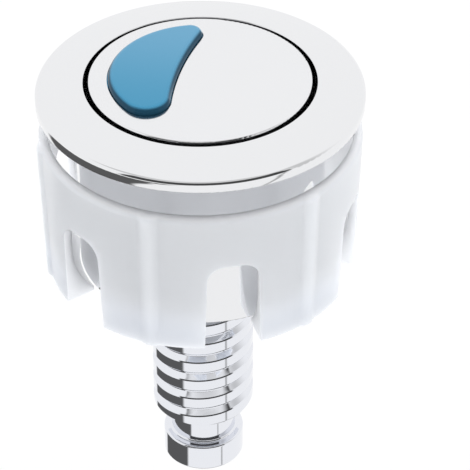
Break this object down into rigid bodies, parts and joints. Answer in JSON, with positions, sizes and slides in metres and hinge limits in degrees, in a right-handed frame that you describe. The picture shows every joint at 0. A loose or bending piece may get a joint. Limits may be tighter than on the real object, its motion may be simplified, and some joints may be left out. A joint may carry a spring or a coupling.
{
  "type": "push button cistern actuator",
  "caption": "Dual flush push button for a cistern lid: chromed bezel and barrel, blue half flush crescent in a round full flush cap, white slotted grip collar and threaded push stem.",
  "frame": {"origin": "on the button's axis, in the plane of the flange's underside, where the cistern lid's top face sits", "axes": "+Z along the button's axis, up out of the lid; -X towards the half flush crescent"},
  "size_m": [0.058, 0.0584, 0.0865],
  "materials": {
    "chrome_plate": "mirror chrome plate on plastic",
    "cap_chrome": "mirror chrome plate on plastic",
    "stem_chrome": "mirror chrome plate on plastic",
    "blue_plastic": "blue tinted chrome plate on plastic",
    "white_plastic": "semi-gloss white polypropylene, a little translucent",
    "inner_plastic": "plain white moulding",
    "spring_steel": "bright spring wire"
  },
  "bodies": {
    "bezel": {"bezel": "chrome_plate", "guide_bulkhead": "inner_plastic", "full_flush_spring": "spring_steel"},
    "collar": {"grip_collar": "white_plastic"},
    "full_flush": {"full_flush_cap": "cap_chrome", "full_flush_carrier": "inner_plastic", "half_flush_spring": "spring_steel"},
    "half_flush": {"half_flush_cap": "blue_plastic", "stem_hub": "inner_plastic"},
    "stem": {"threaded_stem": "stem_chrome"}
  },
  "joints": [
    {"name": "full_flush_press", "type": "slide", "parent": "bezel", "child": "full_flush", "axis": [0, 0, -1], "range_m": [0, 0.007], "stiffness_N_per_m": 500, "springref_m": -0.01, "deforming": ["full_flush_spring"]},
    {"name": "half_flush_press", "type": "slide", "parent": "full_flush", "child": "half_flush", "axis": [0, 0, -1], "range_m": [0, 0.004], "stiffness_N_per_m": 400, "springref_m": -0.008, "deforming": ["half_flush_spring"]},
    {"name": "stem_adjust", "type": "slide", "parent": "half_flush", "child": "stem", "axis": [0, 0, -1], "range_m": [-0.004, 0.008]},
    {"name": "collar_slide", "type": "slide", "parent": "bezel", "child": "collar", "axis": [0, 0, 1], "range_m": [0, 0.0045]}
  ]
}
